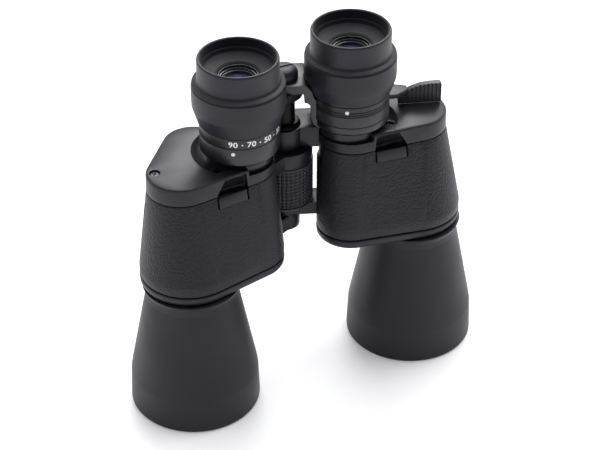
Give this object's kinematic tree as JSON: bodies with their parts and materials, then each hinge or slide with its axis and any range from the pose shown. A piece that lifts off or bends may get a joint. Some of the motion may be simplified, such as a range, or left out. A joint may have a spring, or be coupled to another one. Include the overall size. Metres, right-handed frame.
{
  "type": "binoculars",
  "caption": "Zoom Porro-prism binoculars: two folding prism housings with flared objectives, sliding eyepieces, centre focus wheel and zoom lever.",
  "frame": {"origin": "middle of the footprint, on the surface that the objective rims stand on", "axes": "+Z from the objectives up to the eyecups, +X towards the user's right-hand barrel's outer side with the hinge at the back, +Y from the barrels' front towards the hinge line"},
  "size_m": [0.1854, 0.072, 0.1805],
  "materials": {
    "housing_plastic": "satin moulded plastic, charcoal",
    "grained_grip": "fine leather grain, charcoal",
    "barrel_paint": "satin charcoal",
    "collar_plastic": "satin charcoal",
    "ring_plastic": "satin black",
    "bridge_metal": "satin charcoal",
    "wheel_rubber": "knurled",
    "eyecup_rubber": "soft matt rubber",
    "blacked_steel": "turned and blackened",
    "screw_steel": "blackened",
    "inner_aluminium": "matt, inner parts",
    "optical_glass": "polished, inner",
    "printed_white": "pad-printed ink",
    "coated_glass": "coated"
  },
  "bodies": {
    "left_half": {"left_prism_housing": "housing_plastic", "left_grip_cover": "grained_grip", "left_prism_cover": "housing_plastic", "left_cover_screws": "screw_steel", "left_front_plate": "housing_plastic", "left_strap_bar": "screw_steel", "left_prism_shelf": "inner_aluminium", "left_upper_prism": "optical_glass", "left_lower_prism": "optical_glass", "left_prism_clips": "inner_aluminium", "left_objective_barrel": "barrel_paint", "left_objective_crown": "coated_glass", "left_objective_flint": "optical_glass", "left_objective_retainer": "ring_plastic", "left_guide_tube": "ring_plastic", "hinge_pin": "bridge_metal", "hinge_bush": "bridge_metal"},
    "right_half": {"right_prism_housing": "housing_plastic", "right_grip_cover": "grained_grip", "right_prism_cover": "housing_plastic", "right_cover_screws": "screw_steel", "right_front_plate": "housing_plastic", "right_strap_bar": "screw_steel", "right_prism_shelf": "inner_aluminium", "right_upper_prism": "optical_glass", "right_lower_prism": "optical_glass", "right_prism_clips": "inner_aluminium", "right_objective_barrel": "barrel_paint", "right_objective_crown": "coated_glass", "right_objective_flint": "optical_glass", "right_objective_retainer": "ring_plastic", "right_guide_tube": "ring_plastic"},
    "focus_wheel": {"focus_wheel": "ring_plastic", "focus_wheel_grip": "wheel_rubber"},
    "left_carriage": {"focus_spindle": "blacked_steel", "spindle_cap": "collar_plastic", "left_bridge_arm": "bridge_metal", "left_eyepiece_barrel": "ring_plastic", "left_ocular_collar": "collar_plastic", "left_eyecup": "eyecup_rubber", "left_eye_cell": "ring_plastic", "left_eye_lens": "coated_glass"},
    "right_carriage": {"right_bridge_arm": "bridge_metal", "right_eyepiece_barrel": "ring_plastic", "right_dioptre_ring": "ring_plastic"},
    "left_zoom_ring": {"left_zoom_scale_ring": "ring_plastic", "left_cam_tube": "inner_aluminium"},
    "zoom_lever": {"right_zoom_lever": "ring_plastic", "right_cam_tube": "inner_aluminium"},
    "left_zoom_group": {"left_zoom_cell": "inner_aluminium", "left_zoom_lens": "optical_glass"},
    "right_zoom_group": {"right_zoom_cell": "inner_aluminium", "right_zoom_lens": "optical_glass"},
    "right_dioptre": {"right_ocular_collar": "collar_plastic", "right_eyecup": "eyecup_rubber"},
    "right_eye_group": {"right_eye_cell": "ring_plastic", "right_eye_lens": "coated_glass"}
  },
  "joints": [
    {"name": "interpupillary_fold", "type": "hinge", "parent": "left_half", "child": "right_half", "pos_m": [0, 0.018, 0.1], "axis": [0, 0, 1], "range_deg": [-16, 30]},
    {"name": "focus_wheel_turn", "type": "hinge", "parent": "left_half", "child": "focus_wheel", "pos_m": [0, 0.018, 0.098], "axis": [0, 0, 1], "range_deg": [0, 406]},
    {"name": "left_focus_slide", "type": "slide", "parent": "left_half", "child": "left_carriage", "axis": [0, 0, 1], "range_m": [0, 0.006]},
    {"name": "right_focus_slide", "type": "slide", "parent": "right_half", "child": "right_carriage", "axis": [0, 0, 1], "range_m": [0, 0.0062]},
    {"name": "zoom_lever_turn", "type": "hinge", "parent": "right_carriage", "child": "zoom_lever", "pos_m": [0.0294, 0.0057, 0.139], "axis": [0, 0, 1], "range_deg": [-79.5, 0]},
    {"name": "left_zoom_turn", "type": "hinge", "parent": "left_carriage", "child": "left_zoom_ring", "pos_m": [-0.0294, 0.0057, 0.144], "axis": [0, 0, 1], "range_deg": [-79.8, 0]},
    {"name": "left_zoom_slide", "type": "slide", "parent": "left_carriage", "child": "left_zoom_group", "axis": [0, 0, 1], "range_m": [0, 0.0102]},
    {"name": "right_zoom_slide", "type": "slide", "parent": "right_carriage", "child": "right_zoom_group", "axis": [0, 0, 1], "range_m": [0, 0.0102]},
    {"name": "dioptre_turn", "type": "hinge", "parent": "right_carriage", "child": "right_dioptre", "pos_m": [0.0294, 0.0057, 0.16], "axis": [0, 0, 1], "range_deg": [-45, 45]},
    {"name": "right_eye_slide", "type": "slide", "parent": "right_carriage", "child": "right_eye_group", "axis": [0, 0, 1], "range_m": [-0.0009, 0.0009]}
  ],
  "couplings": [
    {"joint": "focus_wheel_turn", "follows": "left_focus_slide", "rad_per_m": 1163.6},
    {"joint": "right_focus_slide", "follows": "left_focus_slide", "ratio": 1},
    {"joint": "left_zoom_turn", "follows": "zoom_lever_turn", "ratio": 1},
    {"joint": "left_zoom_slide", "follows": "zoom_lever_turn", "m_per_rad": -0.007207},
    {"joint": "right_zoom_slide", "follows": "zoom_lever_turn", "m_per_rad": -0.007207},
    {"joint": "right_eye_slide", "follows": "dioptre_turn", "m_per_rad": 0.0010186}
  ]
}
